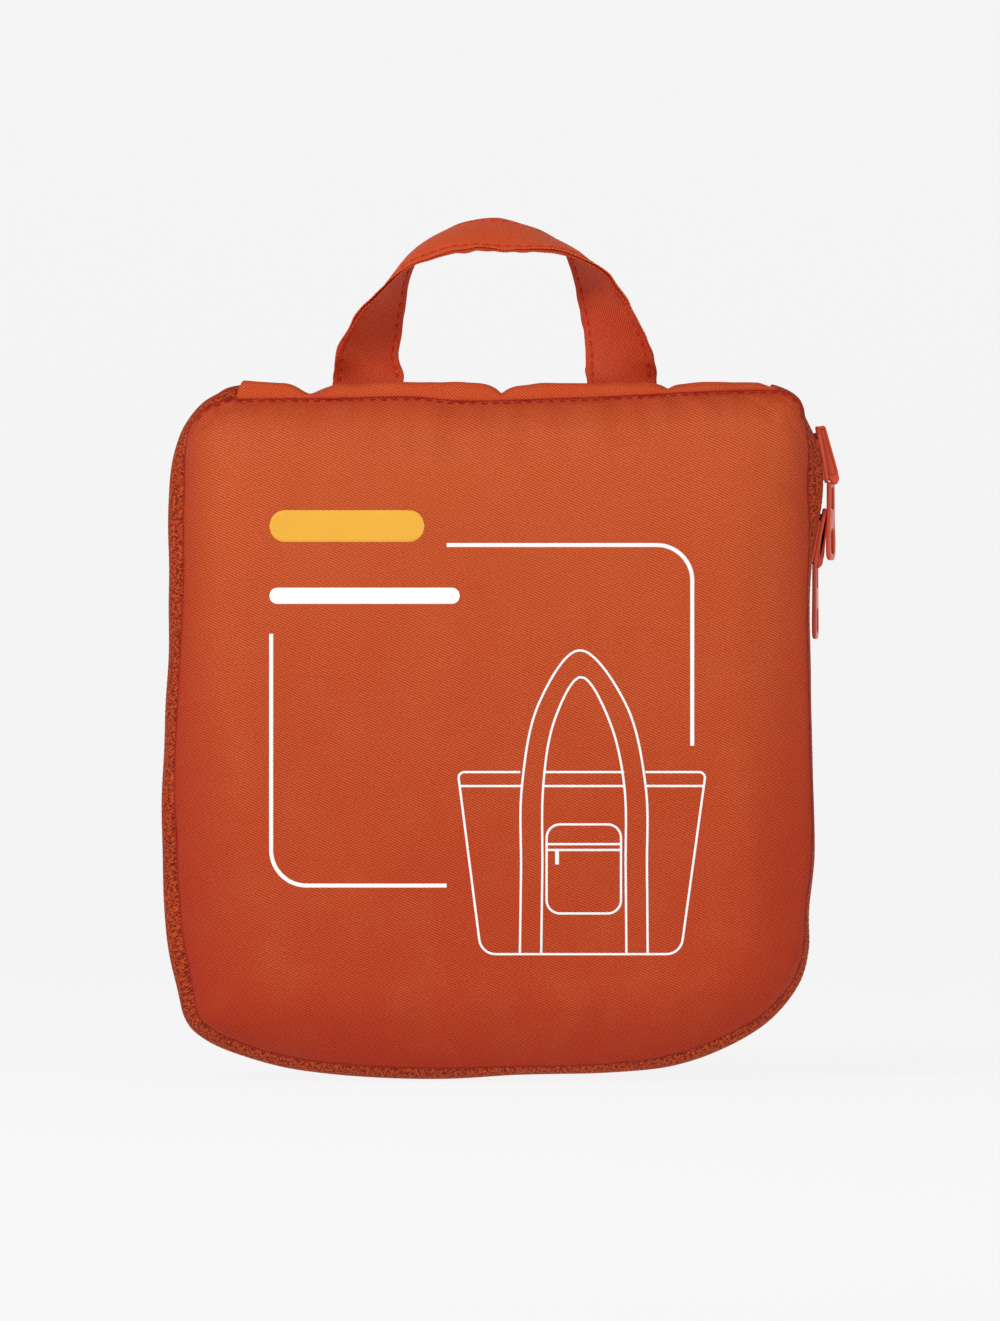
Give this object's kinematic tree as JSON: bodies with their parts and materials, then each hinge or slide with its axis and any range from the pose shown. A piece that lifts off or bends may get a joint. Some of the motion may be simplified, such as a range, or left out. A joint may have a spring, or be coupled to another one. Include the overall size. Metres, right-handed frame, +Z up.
{
  "type": "foldable tote bag",
  "caption": "Tote bag folded flat into its own zippered pouch, with a carry loop, a zipper round three sides and a print of plain lines on the front.",
  "frame": {"origin": "middle of the pouch's underside, on the surface that it stands on", "axes": "+Z up towards the carry loop, -Y towards the printed front, +X towards the side with the zipper sliders"},
  "size_m": [0.1755, 0.0354, 0.2247],
  "materials": {
    "orange_twill": "satin",
    "orange_lining": "matte",
    "orange_zipper_tape": "matte",
    "orange_zipper_coil": "satin",
    "orange_binding": "matte",
    "orange_paint": "gloss",
    "white_ink": "matte",
    "yellow_ink": "matte",
    "white_label": "satin"
  },
  "bodies": {
    "root": {"back_panel": "orange_twill", "back_zipper_tape": "orange_zipper_tape", "back_zipper_coil": "orange_zipper_coil", "back_seam_binding": "orange_binding", "top_hinge_strip": "orange_twill", "zipper_end_tab_left": "orange_twill", "zipper_end_tab_right": "orange_twill", "tote_back_body_folded": "orange_twill", "tote_side_gussets_folded": "orange_twill", "tote_front_body_folded": "orange_twill", "shoulder_strap_left": "orange_twill", "shoulder_strap_right": "orange_twill", "care_label": "white_label", "mouth_zipper_tape": "orange_zipper_tape", "mouth_zipper_coil": "orange_zipper_coil", "mouth_zipper_slider": "orange_paint", "mouth_zipper_pull": "orange_paint"},
    "front_leaf": {"front_panel": "orange_twill", "white_print": "white_ink", "yellow_print": "yellow_ink", "inner_panel": "orange_lining", "front_zipper_tape": "orange_zipper_tape", "front_zipper_coil": "orange_zipper_coil", "front_seam_binding": "orange_binding", "pocket_zipper_tape": "orange_zipper_tape", "pocket_zipper_coil": "orange_zipper_coil"},
    "carry_loop": {"carry_loop_outer_ply": "orange_twill", "carry_loop_inner_ply": "orange_twill"},
    "upper_slider": {"upper_slider": "orange_paint"},
    "lower_slider": {"lower_slider": "orange_paint"},
    "upper_pull": {"upper_pull": "orange_paint"},
    "lower_pull": {"lower_pull": "orange_paint"},
    "pocket_slider": {"pocket_slider": "orange_paint"},
    "pocket_pull": {"pocket_pull": "orange_paint"}
  },
  "joints": [
    {"name": "front_leaf_swing", "type": "hinge", "parent": "root", "child": "front_leaf", "pos_m": [0, -0.01, 0.1775], "axis": [-1, 0, 0], "range_deg": [0, 165]},
    {"name": "carry_loop_flop", "type": "hinge", "parent": "root", "child": "carry_loop", "pos_m": [0, 0.0092, 0.1819], "axis": [-1, 0, 0], "range_deg": [-50, 100]},
    {"name": "upper_slider_travel", "type": "slide", "parent": "root", "child": "upper_slider", "axis": [0, 0, 1], "range_m": [-0.005, 0]},
    {"name": "lower_slider_travel", "type": "slide", "parent": "root", "child": "lower_slider", "axis": [0, 0, 1], "range_m": [-0.095, 0.004]},
    {"name": "upper_pull_swing", "type": "hinge", "parent": "upper_slider", "child": "upper_pull", "pos_m": [0.08935, 0, 0.15445], "axis": [0, -1, 0], "range_deg": [0, 150]},
    {"name": "lower_pull_swing", "type": "hinge", "parent": "lower_slider", "child": "lower_pull", "pos_m": [0.08675, 0, 0.13395], "axis": [0, -1, 0], "range_deg": [0, 85]},
    {"name": "pocket_slider_travel", "type": "slide", "parent": "front_leaf", "child": "pocket_slider", "axis": [1, 0, 0], "range_m": [-0.088, 0]},
    {"name": "pocket_pull_swing", "type": "hinge", "parent": "pocket_slider", "child": "pocket_pull", "pos_m": [0.0414, -0.0107, 0.144], "axis": [0, 0, -1], "range_deg": [0, 30]}
  ]
}
